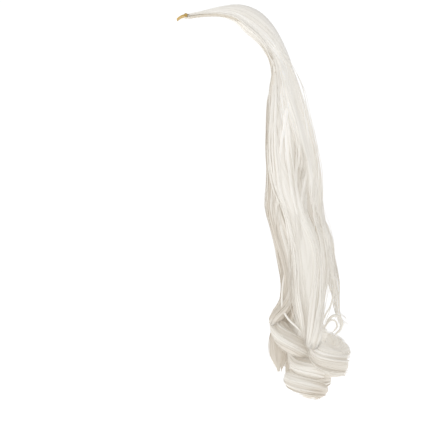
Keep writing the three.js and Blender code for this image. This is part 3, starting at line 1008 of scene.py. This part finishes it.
def stitchRings(shape):
    front = tab["angles"][0] + shape["fromFront"]
    back = tab["angles"][-1] - shape["fromBack"]
    share = np.linspace(-0.5, 0.5, shape["steps"])
    angle = np.arange(front, back, shape["spacing"] / shape["mmPerDegree"])[:, None]
    angle = angle + share * shape["length"] / shape["mmPerDegree"]
    bow = shape["rise"] * (1 - (2 * share) ** 4) * np.ones_like(angle)
    fromMiddle = tabHalf(tab, angle) - tab["hem"] + shape["fromHem"]
    lifts = (tab["thick"] - shape["topSunk"] + bow, shape["underSunk"] - bow)
    edges = (-fromMiddle, fromMiddle)
    path = np.concatenate([domePoint(angle, edge, lift) for edge in edges for lift in lifts])
    tangent = unit(np.gradient(path, axis=1))
    out = np.cross(tangent, unit(np.cross(tangent, np.array([0, 0, 1.0]))))
    return wireRings(path, out, shape["half"], shape["sides"])


# The comb's own solid stays, and gets a wire that winds round its bar, and loops that sew it to the tab.
comb = {
    "bar": (-49, -2), "barRadius": 1.8, "half": 14.6, "turns": 25, "perTurn": 16,
    "wire": 0.42, "wireOut": 0.6, "sides": 6,
}


# The winding: a screw line round the bar.
def windingRings(shape):
    share = np.linspace(0, 1, shape["turns"] * shape["perTurn"])
    turn = 2 * np.pi * shape["turns"] * share
    reach = shape["barRadius"] + shape["wireOut"] * shape["wire"]
    out = np.stack([np.zeros_like(turn), np.cos(turn), np.sin(turn)], axis=-1)
    path = out * reach + np.array([0, *shape["bar"]])
    path[:, 0] = shape["half"] * (2 * share - 1)
    return wireRings(path[None], out[None], shape["wire"], shape["sides"])


windingPiece = tubes("comb_winding", windingRings(comb), plainTone, gold)

# Sewing loops: egg-shaped rings round the bar and through the tab's front edge, each leaning to a side.
loop = {
    "count": 8, "reach": 8.2, "lean": 0.5, "behindBar": 2.0, "belowBar": 0.3,
    "long": 4.4, "high": 2.2, "egg": 0.5, "half": 0.32, "steps": 26, "sides": 6,
}


def loopRings(shape):
    places = np.linspace(-shape["reach"], shape["reach"], shape["count"])[:, None]
    turn = np.linspace(0, 2 * np.pi, shape["steps"])[None]
    y = comb["bar"][0] + shape["behindBar"] + shape["long"] * np.cos(turn)
    z = comb["bar"][1] - shape["belowBar"] + (shape["high"] - shape["egg"] * np.cos(turn)) * np.sin(turn)
    x = places + shape["lean"] * np.sin(turn + places)
    path = np.stack([x, y + 0 * places, z + 0 * places], axis=-1)
    tangent = unit(np.gradient(path, axis=1))
    out = unit(np.cross(tangent, np.array([1.0, 0, 0])))
    return wireRings(path, out, shape["half"], shape["sides"])


stitchPiece = tubes("tab_stitches", stitchRings(stitch), plainTone, thread)
loopPiece = tubes("tab_loops", loopRings(loop), plainTone, thread)
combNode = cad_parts["comb"]
combNode.data.materials.clear()
combNode.data.materials.append(gold)
print("tab and comb made")


# The studio, in metres: a pale floor, a soft sky and one large soft lamp.
ground = {"z": -0.62, "half": 9.0, "surface": {
    "Base Color": (0.95, 0.95, 0.95, 1), "Roughness": 0.8,
    "Emission Color": (1, 1, 1, 1), "Emission Strength": 0.56,
}}
corners = np.array([(-1, -1), (1, -1), (1, 1), (-1, 1)]) * ground["half"]
floor = bpy.data.objects.new("floor", bpy.data.meshes.new("floor"))
floor.data.from_pydata([(x, y, ground["z"]) for x, y in corners], [], [(0, 1, 2, 3)])
floor.data.materials.append(surface("floor", ground["surface"])[0])
bpy.context.scene.collection.objects.link(floor)

# The sky's brightness in a direction: a bright wall round the horizon that goes over to an even part,
# and parts that grow with a power of its share towards the top and the left.
sky = {
    "wall": {"From Min": 0.12, "From Max": 0.26, "To Min": 1.02, "To Max": 0.26},
    "top": {"towards": (0, 0.25, 0.95), "power": 1.0, "amount": 0.38},
    "left": {"towards": (0.5, -0.8, 0.3), "power": 2.0, "amount": 0.25},
}


def makeSky(shape):
    world = bpy.data.worlds.new("studio")
    bpy.context.scene.world = world
    world.use_nodes = True
    tree = world.node_tree
    direction = node(tree, "ShaderNodeTexCoord").outputs["Generated"]
    height = node(tree, "ShaderNodeSeparateXYZ", {0: direction}).outputs["Z"]
    total = node(tree, "ShaderNodeMapRange", {
        "Value": height, **shape["wall"],
    }, interpolation_type="SMOOTHSTEP").outputs["Result"]
    for part in (shape["top"], shape["left"]):
        dot = node(tree, "ShaderNodeVectorMath", {
            0: direction, 1: part["towards"],
        }, operation="DOT_PRODUCT").outputs["Value"]
        grown = worked(tree, "POWER", worked(tree, "MAXIMUM", dot, 0.0), part["power"])
        total = worked(tree, "MULTIPLY_ADD", grown, part["amount"], total)
    tree.links.new(total, tree.nodes["Background"].inputs["Strength"])
    tree.nodes["Background"].inputs["Color"].default_value = (1, 1, 1, 1)


makeSky(sky)

# A square lamp at a place, turned to shine on a point.
lamp = {"place": (0.6, -0.9, 0.75), "aim": (0, 0.08, -0.2), "size": 0.7, "watts": 3.2}
key = bpy.data.objects.new("key", bpy.data.lights.new("key", "AREA"))
key.data.size = lamp["size"]
key.data.energy = lamp["watts"]
key.location = lamp["place"]
x, y, z = np.array(lamp["aim"]) - np.array(lamp["place"])
key.rotation_euler = (np.arctan2(np.hypot(x, y), -z), 0, np.arctan2(y, x) - np.pi / 2)
bpy.context.scene.collection.objects.link(key)

# The camera looks level at the left side, from far enough for little perspective.
camera = bpy.data.objects.new("camera", bpy.data.cameras.new("camera"))
camera.data.sensor_width = 36
camera.data.lens = 160.06
camera.data.clip_end = 40
camera.location = (2.6, -0.0095, -0.2727)
camera.rotation_euler = (np.pi / 2, 0, np.pi / 2)
bpy.context.scene.collection.objects.link(camera)
bpy.context.scene.camera = camera
bpy.context.scene.view_settings.view_transform = "Standard"
print("studio made")
